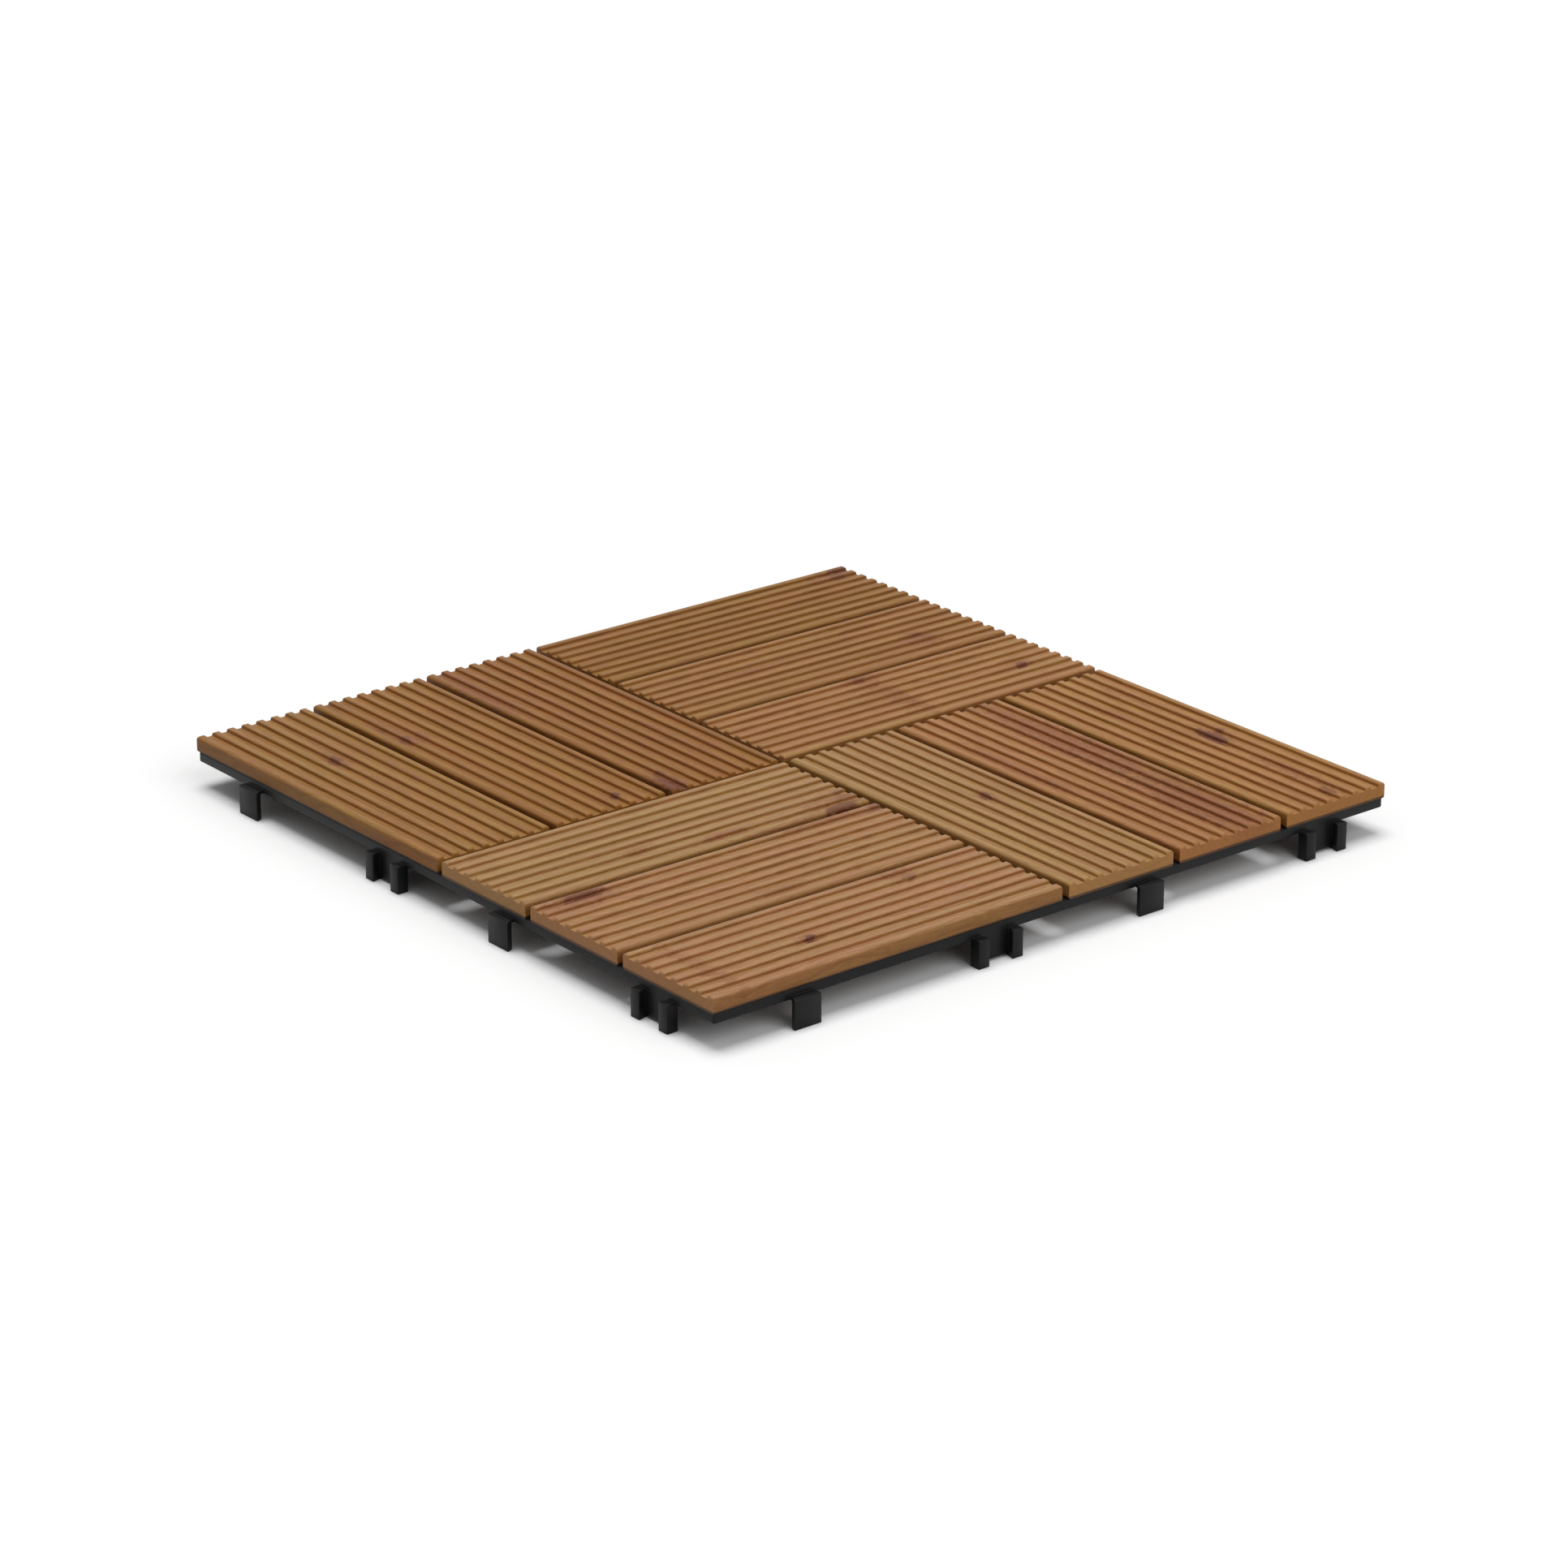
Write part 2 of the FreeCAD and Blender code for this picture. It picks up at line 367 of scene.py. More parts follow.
def grid_piece(material):
    body = bmesh.new()
    body.from_mesh(layered_mesh("grid_plate", grid_outlines(), grid_levels, GRID_TOP, outer_wall=False))
    body.from_mesh(rim_face())
    bmesh.ops.remove_doubles(body, verts=body.verts, dist=WELD_DISTANCE)
    kinds = (tongue_meshes(), socket_meshes())
    for quarter, shift in enumerate(SIDE_SHIFTS):
        for index, step in enumerate(CONNECTOR_STEPS):
            along = Matrix.Translation(((step + shift * CONNECTOR_SHIFT) * MM, 0, 0))
            place = Matrix.Rotation(quarter * QUARTER_TURN, 4, "Z") @ along
            for mesh in kinds[index % 2]:
                copy = mesh.copy()
                copy.transform(place)
                body.from_mesh(copy)
    mesh = bpy.data.meshes.new("moulded_grid")
    body.to_mesh(mesh)
    body.free()
    piece = new_object("moulded_grid", mesh)
    piece.data.materials.append(material)
    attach(piece, "root")
    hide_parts("base_grid")


# The slats
def rounded_outline(corners):
    """Replaces each corner (y, z, radius) of a closed outline by an arc."""
    outline = []
    for index, (y, z, radius) in enumerate(corners):
        here = Vector((y, z))
        before = (Vector(corners[index - 1][:2]) - here).normalized()
        after = (Vector(corners[(index + 1) % len(corners)][:2]) - here).normalized()
        half_angle = before.angle(after) / 2
        reach = radius / math.tan(half_angle)
        middle = here + (before + after).normalized() * (radius / math.sin(half_angle))
        start, end = here + before * reach - middle, here + after * reach - middle
        turn = math.atan2(start.x * end.y - start.y * end.x, start.dot(end))
        for step in range(ARC_STEPS + 1):
            spoke = start.copy()
            spoke.rotate(Matrix.Rotation(turn * step / ARC_STEPS, 2))
            outline.append(middle + spoke)
    return outline


def slat_section(width, thickness):
    """The slat's section with its top at zero height, all edges slightly rounded."""
    half = width / 2
    corners = [(-half, -thickness, SLAT_FOOT_ROUNDING), (half, -thickness, SLAT_FOOT_ROUNDING)]
    corners.append((half, 0.0, SLAT_EDGE_ROUNDING))
    for index in range(GROOVE_COUNT):
        centre = ((GROOVE_COUNT - 1) / 2 - index) * GROOVE_PITCH
        corners.append((centre + GROOVE_MOUTH / 2, 0.0, RIDGE_ROUNDING))
        corners.append((centre + GROOVE_FLOOR / 2, -GROOVE_DEPTH, GROOVE_ROUNDING))
        corners.append((centre - GROOVE_FLOOR / 2, -GROOVE_DEPTH, GROOVE_ROUNDING))
        corners.append((centre - GROOVE_MOUTH / 2, 0.0, RIDGE_ROUNDING))
    corners.append((-half, 0.0, SLAT_EDGE_ROUNDING))
    return rounded_outline(corners)


def slat_mesh(length, width, thickness):
    """The section swept along X, its upper end corners rounded."""
    section = slat_section(width, thickness)
    turns = [QUARTER_TURN * k / ARC_STEPS for k in range(ARC_STEPS + 1)]
    arc = [(SLAT_END_ROUNDING * (1 - math.cos(t)), SLAT_END_ROUNDING * (1 - math.sin(t))) for t in turns]
    stations = [(inset - length / 2, drop) for inset, drop in arc]
    stations += [(length / 2 - inset, drop) for inset, drop in reversed(arc)]
    corners = [(x * MM, y * MM, min(z, -drop) * MM) for x, drop in stations for y, z in section]
    count = len(section)
    faces = [tuple(reversed(range(count))), tuple(range(len(corners) - count, len(corners)))]
    for station in range(len(stations) - 1):
        first = station * count
        for k in range(count):
            after = (k + 1) % count
            faces.append((first + k, first + after, first + count + after, first + count + k))
    mesh = bpy.data.meshes.new("slat")
    mesh.from_pydata(corners, [], faces)
    return mesh


def slat_place(node):
    """Length, width, thickness and place of a slat, whose own X runs along the grain and top is at zero."""
    low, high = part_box(node)
    size = (high - low) / MM
    middle = (low + high) / 2
    place = Matrix.Translation((middle.x, middle.y, high.z))
    if size.y > size.x:
        return size.y, size.x, size.z, place @ Matrix.Rotation(QUARTER_TURN, 4, "Z")
    return size.x, size.y, size.z, place


# Materials
class Graph:
    """Adds nodes to a node tree and joins them. A value is a number, colour, vector or node's socket."""

    def __init__(self, tree):
        self.tree = tree
        tree.nodes.clear()

    def node(self, kind, inputs=None, **settings):
        made = self.tree.nodes.new(kind)
        for name, value in settings.items():
            setattr(made, name, value)
        for name, value in (inputs or {}).items():
            self.put(made.inputs[name], value)
        return made

    def put(self, socket, value):
        if isinstance(value, bpy.types.NodeSocket):
            self.tree.links.new(value, socket)
        else:
            socket.default_value = value

    def math(self, operation, *values):
        made = self.tree.nodes.new("ShaderNodeMath")
        made.operation = operation
        for socket, value in zip(made.inputs, values):
            self.put(socket, value)
        return made.outputs[0]

    def add(self, a, b):
        return self.math("ADD", a, b)

    def times(self, a, b):
        return self.math("MULTIPLY", a, b)

    def step(self, value, low, high):
        """Rises smoothly from 0 at low to 1 at high, or falls where low is above high."""
        inputs = {"Value": value, "From Min": low, "From Max": high}
        return self.node("ShaderNodeMapRange", inputs, interpolation_type="SMOOTHSTEP").outputs["Result"]

    def noise(self, vector, detail=3.0, roughness=0.5):
        inputs = {"Vector": vector, "Scale": 1.0, "Detail": detail, "Roughness": roughness}
        return self.node("ShaderNodeTexNoise", inputs).outputs["Fac"]

    def stretched(self, vector, scale, offset=(0.0, 0.0, 0.0)):
        inputs = {"Vector": vector, "Scale": scale, "Location": offset}
        return self.node("ShaderNodeMapping", inputs).outputs["Vector"]

    def mix(self, share, a, b, blend="MIX"):
        made = self.tree.nodes.new("ShaderNodeMix")
        made.data_type = "RGBA"
        made.blend_type = blend
        self.put(made.inputs[0], share)
        self.put(made.inputs[6], a)
        self.put(made.inputs[7], b)
        return made.outputs[2]

    def point(self, x, y, z):
        return self.node("ShaderNodeCombineXYZ", {"X": x, "Y": y, "Z": z}).outputs[0]

    def parts(self, vector):
        made = self.node("ShaderNodeSeparateXYZ", {"Vector": vector})
        return made.outputs[0], made.outputs[1], made.outputs[2]

    def local_millimetres(self):
        place = self.tree.nodes.new("ShaderNodeTexCoord")
        return self.stretched(place.outputs["Object"], (1 / MM, 1 / MM, 1 / MM))


def new_material(name):
    material = bpy.data.materials.new(name)
    material.use_nodes = True
    return material, Graph(material.node_tree)


def finish_surface(graph, shader):
    graph.node("ShaderNodeOutputMaterial", {"Surface": shader.outputs[0]})


# Wood: lengths in millimetres, scales per millimetre, and edges from where a mask starts to where it is full
KNOT_COLOUR = (0.125, 0.034, 0.014, 1)
KNOT_LINES = (0.62, 0.40)
KNOT_LINE_SHARE = 0.25
STREAK_COLOUR = (0.230, 0.080, 0.028, 1)
STREAK_LINES = (0.40, 0.60)
STREAK_LINE_SHARE = 0.60
MARK_EDGE = (1.15, 0.65)
MARK_PUSH = 2.5
SEED_SHIFTS = (37.0, 91.0, 53.0)
WANDER_SCALE = (0.26, 0.85, 0.85)
WANDER_REACH = 3.0
BEND_SCALE = (0.017, 0.035, 0.035)
BEND_REACH = 16.0
HEART_SWAY = 14.0
HEART_HEIGHT = 16.0
HEART_LIFT = 9.0
HEART_TURNS = (2.4, 1.7)
RINGS_PER_MM = 0.36
RING_RISE = (0.45, 0.92)
RING_FALL = (1.0, 0.93)
FIBRE_SCALE = (0.09, 1.9, 1.9)
HAIR_SCALE = (0.26, 3.1, 3.1)
BAND_SCALE = (0.011, 0.12, 0.12)
BAND_EDGE = (0.38, 0.62)
CLOUD_SCALE = (0.016, 0.09, 0.09)
CLOUD_EDGE = (0.60, 0.80)
CLOUD_SHIFT = 0.25
CLOUD_SHARE = 0.30
CLOUD_SHARE_GAIN = 0.35
DARK_TINT = (0.62, 0.52, 0.40)
PINKISH_TINT = (1.08, 1.01, 1.06)
YELLOWISH_TINT = (1.06, 1.10, 0.98)
FIBRE_EDGE = (0.66, 0.34)
FIBRE_SHARE = 0.5
LATE_WOOD_SHARE = 0.48
HAIR_EDGE = (0.50, 0.68)
HAIR_SHARE = 0.50
# Side faces: painted shade, darker and more orange than the top
SIDE_PAINTED_SHADE = (0.86, 0.74, 0.50, 1)
SIDE_SHADE_EDGE = (0.80, 0.25)
# End faces: partly the end grain's own tone, partly painted warm bounce light
END_GRAIN_AND_BOUNCE_TINT = (1.18, 0.95, 0.65)
END_EDGE = (0.75, 0.95)
END_SHARE = 0.6
UNDER_TINT = (1.20, 1.18, 1.17, 1)
UNDER_EDGE = (-0.80, -0.95)
# Painted shadow in the gap where the slats' rounded lower edges meet the rim
PAINTED_GAP_SHADE_COLOUR = (0.030, 0.016, 0.009, 1)
GAP_SHADE_HEIGHTS = (-4.7, -5.3)
GAP_SHADE_EDGE = (0.97, 0.85)
GAP_SHADE_SHARE = 0.85
GRAIN_DEPTH = 0.22
FIBRE_HEIGHT = 0.7
HAIR_HEIGHT = 0.5
LATE_WOOD_DROP = 0.25
WOOD_ROUGHNESS = 0.42
FIBRE_ROUGHNESS = 0.22
WOOD_SPECULAR = 0.26


def mark_mask(graph, point, wander, mark):
    """How much of a knot or streak shows: an uneven oval around its middle."""
    x, y, half_length, half_width, strength = mark
    px, py, _ = graph.parts(point)
    along = graph.times(graph.math("SUBTRACT", px, x), 1 / half_length)
    across = graph.times(graph.math("SUBTRACT", py, y), 1 / half_width)
    squares = graph.add(graph.times(along, along), graph.times(across, across))
    reach = graph.add(graph.math("SQRT", squares), wander)
    return graph.times(graph.step(reach, *MARK_EDGE), strength)


def marks_mask(graph, point, wander, marks):
    """The marks of a slat put together, each as strong as it is by itself."""
    shown = 0.0
    for mark in marks:
        shown = graph.math("MAXIMUM", shown, mark_mask(graph, point, wander, mark))
    return shown


def tinted(tone, tint):
    return tuple(part * share for part, share in zip(tone, tint)) + (1,)


def wood_grain(graph, point, shift, seed, marks):
    """Late wood of the growth rings, fibres and finer hairs, all bent around the marks."""
    px, py, pz = graph.parts(point)
    bend = graph.times(graph.noise(graph.stretched(point, BEND_SCALE, shift), detail=2.0), BEND_REACH)
    ring_y = graph.add(graph.add(py, bend), graph.times(marks, MARK_PUSH))
    ring_y = graph.math("SUBTRACT", ring_y, HEART_SWAY * math.sin(HEART_TURNS[0] * seed))
    ring_z = graph.math("SUBTRACT", pz, HEART_HEIGHT + HEART_LIFT * math.cos(HEART_TURNS[1] * seed))
    squares = graph.add(graph.times(ring_y, ring_y), graph.times(ring_z, ring_z))
    ring = graph.math("FRACT", graph.times(graph.math("SQRT", squares), RINGS_PER_MM))
    late_wood = graph.times(graph.step(ring, *RING_RISE), graph.step(ring, *RING_FALL))
    grain_point = graph.point(px, ring_y, pz)
    fibre = graph.noise(graph.stretched(grain_point, FIBRE_SCALE), detail=5.0, roughness=0.68)
    hair = graph.noise(graph.stretched(grain_point, HAIR_SCALE), detail=4.0, roughness=0.62)
    return late_wood, fibre, hair


def grain_colour(graph, point, shift, tone, grain):
    """Pinkish and yellowish bands of a tone, darker in the late wood, fibres and hairs."""
    late_wood, fibre, hair = grain
    band = graph.noise(graph.stretched(point, BAND_SCALE, shift), detail=2.0)
    dark = tinted(tone, DARK_TINT)
    yellowish, pinkish = tinted(tone, YELLOWISH_TINT), tinted(tone, PINKISH_TINT)
    colour = graph.mix(graph.step(band, *BAND_EDGE), yellowish, pinkish)
    colour = graph.mix(graph.times(graph.step(fibre, *FIBRE_EDGE), FIBRE_SHARE), colour, dark)
    colour = graph.mix(graph.times(late_wood, LATE_WOOD_SHARE), colour, dark)
    return graph.mix(graph.times(graph.step(hair, *HAIR_EDGE), HAIR_SHARE), colour, dark)


def marked_colour(graph, point, shift, red_share, colour, hair, knot, streak):
    """Adds reddish clouds, streaks and knots, the last two drawn in lines along the grain."""
    cloud = graph.noise(graph.stretched(point, CLOUD_SCALE, shift[::-1]))
    redness = graph.step(cloud, *(edge - CLOUD_SHIFT * red_share for edge in CLOUD_EDGE))
    most = CLOUD_SHARE + CLOUD_SHARE_GAIN * red_share
    colour = graph.mix(graph.times(redness, most), colour, STREAK_COLOUR)
    lines = graph.times(graph.step(hair, *STREAK_LINES), STREAK_LINE_SHARE)
    lines = graph.add(1 - STREAK_LINE_SHARE, lines)
    colour = graph.mix(graph.times(streak, lines), colour, STREAK_COLOUR)
    lines = graph.times(graph.step(hair, *KNOT_LINES), KNOT_LINE_SHARE)
    lines = graph.add(1 - KNOT_LINE_SHARE, lines)
    return graph.mix(graph.times(knot, lines), colour, KNOT_COLOUR)


def faced_colour(graph, point, tone, colour):
    """Paints shade on the side faces, mixes painted warm bounce light with the end grain's tone on the ends,
    lightens the lower face, and paints the shadow in the gap above the rim.
    """
    _, _, height = graph.parts(point)
    normal = graph.tree.nodes.new("ShaderNodeTexCoord").outputs["Normal"]
    along, _, upward = graph.parts(normal)
    flatness = graph.math("ABSOLUTE", upward)
    end_face = graph.step(graph.math("ABSOLUTE", along), *END_EDGE)
    # Painted shade: the side faces made darker and more orange
    shaded_side = graph.math("SUBTRACT", graph.step(flatness, *SIDE_SHADE_EDGE), end_face)
    colour = graph.mix(graph.math("MAXIMUM", shaded_side, 0.0), colour, SIDE_PAINTED_SHADE, "MULTIPLY")
    # End faces: end-grain tone mixed with painted warm bounce light
    colour = graph.mix(graph.times(end_face, END_SHARE), colour, tinted(tone, END_GRAIN_AND_BOUNCE_TINT))
    colour = graph.mix(graph.step(upward, *UNDER_EDGE), colour, UNDER_TINT, "MULTIPLY")
    # Painted shadow in the gap above the rim, on the faces that are not flat
    gap_shade = graph.times(graph.step(height, *GAP_SHADE_HEIGHTS), graph.step(flatness, *GAP_SHADE_EDGE))
    return graph.mix(graph.times(gap_shade, GAP_SHADE_SHARE), colour, PAINTED_GAP_SHADE_COLOUR)


def wood_material(name, tone, seed, red_share, knots, streaks):
    """Oiled softwood: growth rings cut along the slat, fine fibres, knots and reddish streaks."""
    material, graph = new_material(name)
    point = graph.local_millimetres()
    shift = tuple(step * seed for step in SEED_SHIFTS)
    wander = graph.noise(graph.stretched(point, WANDER_SCALE, shift), detail=5.0, roughness=0.66)
    wander = graph.times(graph.math("SUBTRACT", wander, 0.5), WANDER_REACH)
    knot = marks_mask(graph, point, wander, knots)
    streak = marks_mask(graph, point, wander, streaks)
    grain = wood_grain(graph, point, shift, seed, graph.math("MAXIMUM", knot, streak))
    late_wood, fibre, hair = grain
    colour = grain_colour(graph, point, shift, tone, grain)
    colour = marked_colour(graph, point, shift, red_share, colour, hair, knot, streak)
    colour = faced_colour(graph, point, tone, colour)
    height = graph.add(graph.times(fibre, FIBRE_HEIGHT), graph.times(hair, HAIR_HEIGHT))
    height = graph.math("SUBTRACT", height, graph.times(late_wood, LATE_WOOD_DROP))
    bump = graph.node("ShaderNodeBump", {"Height": height, "Strength": 0.6, "Distance": GRAIN_DEPTH * MM})
    roughness = graph.add(WOOD_ROUGHNESS, graph.times(fibre, FIBRE_ROUGHNESS))
    inputs = {"Base Color": colour, "Roughness": roughness, "Normal": bump.outputs[0]}
    inputs["Specular IOR Level"] = WOOD_SPECULAR
    finish_surface(graph, graph.node("ShaderNodeBsdfPrincipled", inputs))
    return material


# Plastic and steel
PLASTIC_DARK = (0.0060, 0.0062, 0.0066, 1)
PLASTIC_LIGHT = (0.0100, 0.0103, 0.0107, 1)
PLASTIC_GRAIN_SCALE = (1.8, 1.8, 1.8)
PLASTIC_GRAIN_DEPTH = 0.05
PLASTIC_EDGE_RADIUS = 0.35
PLASTIC_ROUGHNESS = 0.34
PLASTIC_SPECULAR = 0.17
SCUFF_SCALE = (0.06, 0.05, 0.08)
SCUFF_EDGE = (0.42, 0.75)
SCUFF_ROUGHNESS = 0.22
STEEL_COLOUR = (0.09, 0.085, 0.08, 1)
STEEL_SCALE = (2.5, 2.5, 2.5)
STEEL_ROUGHNESS = 0.32
STEEL_ROUGHNESS_GAIN = 0.2


def plastic_material():
    """Satin black moulded plastic: soft edges, a faint grain and slight scuffs."""
    material, graph = new_material("grid_plastic")
    point = graph.local_millimetres()
    grain = graph.noise(graph.stretched(point, PLASTIC_GRAIN_SCALE), detail=4.0, roughness=0.6)
    scuffs = graph.noise(graph.stretched(point, SCUFF_SCALE), detail=4.0, roughness=0.6)
    edges = graph.node("ShaderNodeBevel", {"Radius": PLASTIC_EDGE_RADIUS * MM}, samples=6)
    depth = PLASTIC_GRAIN_DEPTH * MM
    inputs = {"Height": grain, "Strength": 0.25, "Distance": depth, "Normal": edges.outputs[0]}
    bump = graph.node("ShaderNodeBump", inputs)
    colour = graph.mix(graph.step(scuffs, *SCUFF_EDGE), PLASTIC_DARK, PLASTIC_LIGHT)
    roughness = graph.add(PLASTIC_ROUGHNESS, graph.times(scuffs, SCUFF_ROUGHNESS))
    inputs = {"Base Color": colour, "Roughness": roughness, "Normal": bump.outputs[0]}
    inputs["Specular IOR Level"] = PLASTIC_SPECULAR
    finish_surface(graph, graph.node("ShaderNodeBsdfPrincipled", inputs))
    return material


def steel_material():
    """Dark coated steel of the small screws."""
    material, graph = new_material("screw_steel")
    grain = graph.noise(graph.stretched(graph.local_millimetres(), STEEL_SCALE))
    roughness = graph.add(STEEL_ROUGHNESS, graph.times(grain, STEEL_ROUGHNESS_GAIN))
    inputs = {"Base Color": STEEL_COLOUR, "Metallic": 1.0, "Roughness": roughness}
    finish_surface(graph, graph.node("ShaderNodeBsdfPrincipled", inputs))
    return material


# Each slat's slot, tone, share of reddish wood, knots and streaks
# A knot or streak has its x and y in tile millimetres, its half length along the grain, its half width
# across it, and its strength
SLATS = {
    "front_left_1": (
        "wood_yellowish",
        (0.384, 0.226, 0.095),
        0.05,
        [(-13, -47, 8.5, 3.6, 0.95), (-7, -40, 5, 2.5, 0.6), (-5, -34, 3, 3, 0.35)],
        [
            (-60, -43, 11, 3.2, 0.85), (-93, -35, 7, 2.6, 0.75), (-35, -49, 22, 1.6, 0.6),
            (-12, -44, 13, 8, 0.5),
        ],
    ),
    "front_left_2": (
        "wood_pinkish",
        (0.391, 0.21, 0.095),
        0.15,
        [(-131, -56, 8.5, 3.2, 0.95), (-125, -54, 5, 2, 0.6), (-3.5, -55, 4, 2.6, 0.7)],
        [
            (-132, -57, 15, 4.5, 0.8), (-28, -54, 17, 2.2, 0.8), (-12, -57, 9, 2, 0.6),
            (-75, -93, 10, 3, 0.45),
        ],
    ),
    "front_left_3": (
        "wood_pinkish",
        (0.391, 0.211, 0.096),
        0.15,
        [(-95, -131, 2.6, 2.2, 1.0), (-36, -111, 3, 1.8, 0.45)],
        [
            (-95, -131, 6, 3.6, 0.6), (-37, -108, 7, 5, 0.6), (-137, -128, 3.4, 24, 0.5),
            (-35, -147, 8, 2.5, 0.4),
        ],
    ),
    "front_right_1": (
        "wood_yellowish",
        (0.384, 0.219, 0.085),
        0.05,
        [(33, -71, 3.0, 1.8, 0.75)],
        [(33, -72, 7, 3.5, 0.7), (32, -90, 14, 3, 0.3), (43, -105, 42, 1.6, 0.5)],
    ),
    "front_right_2": (
        "wood_reddish",
        (0.378, 0.18, 0.064),
        0.15,
        [
            (93, -60, 34, 1.4, 0.32), (86, -62, 40, 1.2, 0.28), (90, -112, 40, 1.2, 0.28),
            (79, -125, 26, 1.6, 0.32), (84, -100, 50, 1.0, 0.25), (97, -80, 44, 1.1, 0.25),
        ],
        [
            (90, -52, 52, 8.0, 1.0), (87, -122, 38, 11.0, 1.0), (59, -60, 30, 2.6, 0.7),
            (66, -110, 24, 2.4, 0.6),
        ],
    ),
    "front_right_3": (
        "wood_pinkish",
        (0.381, 0.189, 0.06),
        0.15,
        [(134, -79, 8, 3.2, 1.0), (139, -76, 3, 3.4, 0.6), (130, -143, 4, 2.4, 0.8)],
        [
            (134, -79, 12, 6, 0.7), (132, -122, 22, 3.6, 0.75), (138, -30, 22, 3, 0.35),
            (115, -72, 7, 3, 0.45),
        ],
    ),
    "back_right_1": (
        "wood_pinkish",
        (0.364, 0.187, 0.069),
        0.2,
        [(131, 21, 2.5, 2.2, 1.0), (73, 46, 3.2, 2.6, 0.55), (72, 16, 3.4, 1.0, 0.5)],
        [(73, 28, 5.0, 24, 0.65), (73, 46, 8, 4.5, 0.8), (131, 21, 6, 3.6, 0.5)],
    ),
    "back_right_2": (
        "wood_pinkish",
        (0.331, 0.167, 0.054),
        0.2,
        [(121, 69, 3.5, 4.5, 0.4)],
        [(120, 66, 8, 9, 0.85), (104, 66, 18, 2.4, 0.5), (110, 90, 8, 1.6, 0.6)],
    ),
    "back_right_3": (
        "wood_brownish",
        (0.296, 0.147, 0.038),
        0.15,
        [(146, 147, 6, 2.6, 0.9), (141, 142, 4, 4, 0.6)],
        [(139, 142, 12, 6, 0.85), (60, 145, 22, 3, 0.5), (60, 130, 26, 3, 0.35)],
    ),
    # Back left slats: tones partly their own darker wood, partly painted shade that makes them darker and
    # more orange
    "back_left_1": (
        "wood_brownish",
        (0.29, 0.128, 0.028),
        0.25,
        [(-45.5, 7, 9, 3.6, 1.0), (-43.5, 17, 4, 2.6, 0.6), (-46, 118, 8, 1.4, 0.5)],
        [(-45, 9, 14, 5, 0.8), (-45, 120, 28, 4.2, 1.0), (-42, 140, 12, 4, 0.8), (-16, 44, 18, 3, 0.45)],
    ),
    "back_left_2": (
        "wood_pinkish",
        (0.298, 0.137, 0.029),
        0.15,
        [(-93, 101, 2.8, 2.6, 0.7), (-67.5, 11, 2.4, 1.7, 1.0), (-94, 115, 3, 1.4, 0.4)],
        [(-90, 100, 4.5, 8.5, 0.85), (-93, 108, 12, 4, 0.55), (-67.5, 12, 6, 3, 0.6)],
    ),
    "back_left_3": (
        "wood_yellowish",
        (0.313, 0.155, 0.038),
        0.1,
        [(-124, 100, 4.0, 2.4, 0.85)],
        [
            (-124, 100, 8, 4.5, 0.7), (-140, 30, 28, 3, 0.4), (-122, 60, 30, 2, 0.35),
            (-148, 105, 40, 2, 0.4),
        ],
    ),
}


def local_marks(place, marks):
    """Moves marks from tile millimetres to the slat's own."""
    inverse = place.inverted()
    moved = []
    for x, y, half_length, half_width, strength in marks:
        there = inverse @ Vector((x * MM, y * MM, 0))
        moved.append((there.x / MM, there.y / MM, half_length, half_width, strength))
    return moved


def slat_piece(index, name):
    slot, tone, red_share, knots, streaks = SLATS[name]
    node = "slat_" + name
    length, width, thickness, place = slat_place(node)
    piece = new_object("grooved_" + node, slat_mesh(length, width, thickness))
    piece.matrix_world = place
    knots, streaks = local_marks(place, knots), local_marks(place, streaks)
    piece.data.materials.append(wood_material("wood_" + name, tone, index + 1, red_share, knots, streaks))
    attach(piece, "root")
    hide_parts(node)


# The screws, sunk in the posts under the slats
SCREW_HEAD_RADIUS = 1.7
SCREW_SIDES = 24
SCREW_HEAD_HEIGHT = 0.9
SCREW_RECESS_WIDTH = 0.35
SCREW_RECESS_LENGTH = 2.0
SCREW_RECESS_DEPTH = 0.5
SCREW_COLUMNS = (1, 5)
SCREW_ROWS = (1, 3, 5)
SCREW_SPINS = (0.9, 1.7, 2.3)


def screw_levels(x, y):
    """The head's lower face, with a cross cut into it."""
    level = np.full(len(x), BORE_TOP - SCREW_HEAD_HEIGHT)
    arm, half = SCREW_RECESS_LENGTH / 2, SCREW_RECESS_WIDTH / 2
    cross = (np.abs(x) < arm) & (np.abs(y) < half) | (np.abs(y) < arm) & (np.abs(x) < half)
    level[cross] += SCREW_RECESS_DEPTH
    return level


def screws_piece(material):
    """Two screws to a slat, each turned by another angle."""
    arm, half = SCREW_RECESS_LENGTH / 2, SCREW_RECESS_WIDTH / 2
    bar = [(-arm, -half), (arm, -half), (arm, half), (-arm, half)]
    outlines = [ring(0, 0, SCREW_HEAD_RADIUS, SCREW_SIDES), bar, [(y, x) for x, y in bar]]
    head = layered_mesh("screw_head", outlines, screw_levels, BORE_TOP)
    body = bmesh.new()
    for column in SCREW_COLUMNS:
        for row in SCREW_ROWS:
            for quarter in range(4):
                turn = Matrix.Rotation(quarter * QUARTER_TURN, 4, "Z")
                place = turn @ Matrix.Translation((column * PITCH * MM, row * PITCH * MM, 0))
                angle = Vector(SCREW_SPINS).dot((column, row, quarter))
                spin = Matrix.Rotation(angle, 4, "Z")
                copy = head.copy()
                copy.transform(place @ spin)
                body.from_mesh(copy)
    mesh = bpy.data.meshes.new("slat_screws")
    body.to_mesh(mesh)
    body.free()
    piece = new_object("slat_screws", mesh)
    piece.data.materials.append(material)
    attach(piece, "root")


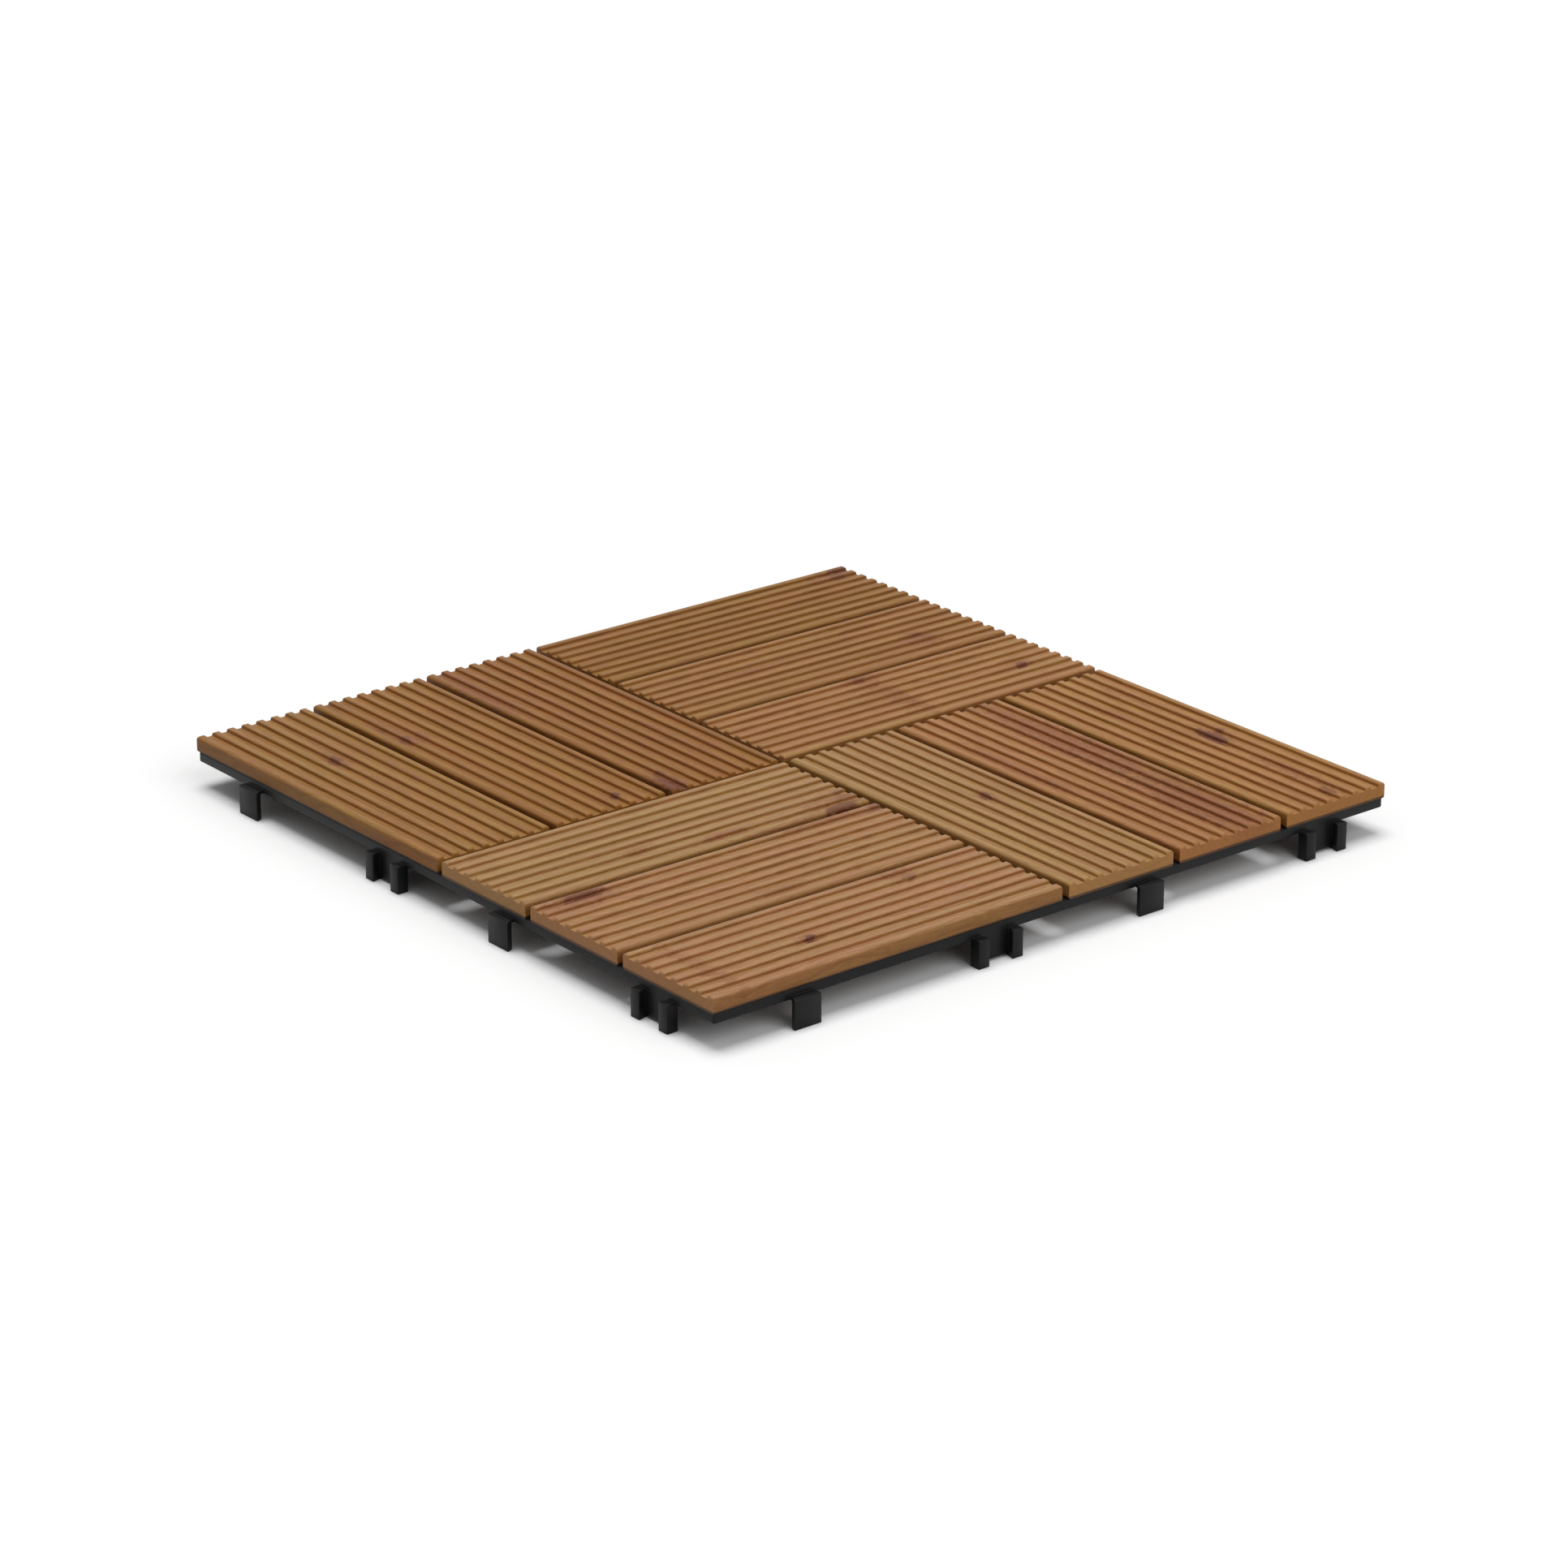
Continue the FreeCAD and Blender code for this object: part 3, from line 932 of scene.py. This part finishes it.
# Studio
FLOOR_REACH = 6.0
FLOOR_BOUNCE = 0.4
WORLD_LIGHT = 0.30
WHITE = (1.0, 1.0, 1.0, 1)
CAMERA_PLACE = (-1.088, -1.3465, 0.6885)
CAMERA_LENS = 120.0
SENSOR_WIDTH = 36.0


def seen_directly(graph):
    """One for what the camera sees, also by way of a reflection or through glass."""
    path = graph.tree.nodes.new("ShaderNodeLightPath").outputs
    seen = graph.math("MAXIMUM", path["Is Camera Ray"], path["Is Glossy Ray"])
    return graph.math("MAXIMUM", seen, path["Is Transmission Ray"])


def studio_floor():
    """White where it is seen, grey where it only throws light back."""
    mesh = bpy.data.meshes.new("floor")
    corners = [(x * FLOOR_REACH, y * FLOOR_REACH, 0) for x, y in ((-1, -1), (1, -1), (1, 1), (-1, 1))]
    mesh.from_pydata(corners, [], [(0, 1, 2, 3)])
    floor = bpy.data.objects.new("floor", mesh)
    bpy.context.scene.collection.objects.link(floor)
    material, graph = new_material("floor")
    grey = (FLOOR_BOUNCE, FLOOR_BOUNCE, FLOOR_BOUNCE, 1)
    colour = graph.mix(seen_directly(graph), grey, WHITE)
    finish_surface(graph, graph.node("ShaderNodeBsdfDiffuse", {"Color": colour}))
    mesh.materials.append(material)


def studio_world():
    """White where it is seen, a soft fill light elsewhere."""
    world = bpy.data.worlds.new("studio")
    bpy.context.scene.world = world
    world.use_nodes = True
    graph = Graph(world.node_tree)
    strength = graph.add(WORLD_LIGHT, graph.times(seen_directly(graph), 1 - WORLD_LIGHT))
    light = graph.node("ShaderNodeBackground", {"Color": WHITE, "Strength": strength})
    graph.node("ShaderNodeOutputWorld", {"Surface": light.outputs[0]})


def soft_sun(name, towards, strength, softness):
    """A distant lamp that stands in the given direction and spreads over an angle in degrees."""
    lamp = bpy.data.lights.new(name, "SUN")
    lamp.energy = strength
    lamp.angle = math.radians(softness)
    holder = bpy.data.objects.new(name, lamp)
    holder.rotation_euler = (-Vector(towards)).to_track_quat("-Z", "Y").to_euler()
    bpy.context.scene.collection.objects.link(holder)


def studio_camera():
    """Stands where the photo was taken from, with a longer lens, and looks at the tile's middle."""
    camera = bpy.data.cameras.new("camera")
    camera.lens = CAMERA_LENS
    camera.sensor_width = SENSOR_WIDTH
    holder = bpy.data.objects.new("camera", camera)
    holder.location = CAMERA_PLACE
    aim = (cad_low + cad_high) / 2 - holder.location
    holder.rotation_euler = aim.to_track_quat("-Z", "Y").to_euler()
    bpy.context.scene.collection.objects.link(holder)
    bpy.context.scene.camera = holder


# The model and the studio
grid_piece(plastic_material())
for index, name in enumerate(SLATS):
    slat_piece(index, name)
screws_piece(steel_material())

studio_floor()
studio_world()
soft_sun("overhead", towards=(0.0, 0.1, 1.0), strength=1.75, softness=34.0)
soft_sun("front", towards=(0.1, -0.8, 0.6), strength=0.88, softness=50.0)
studio_camera()
bpy.context.scene.view_settings.view_transform = "Standard"
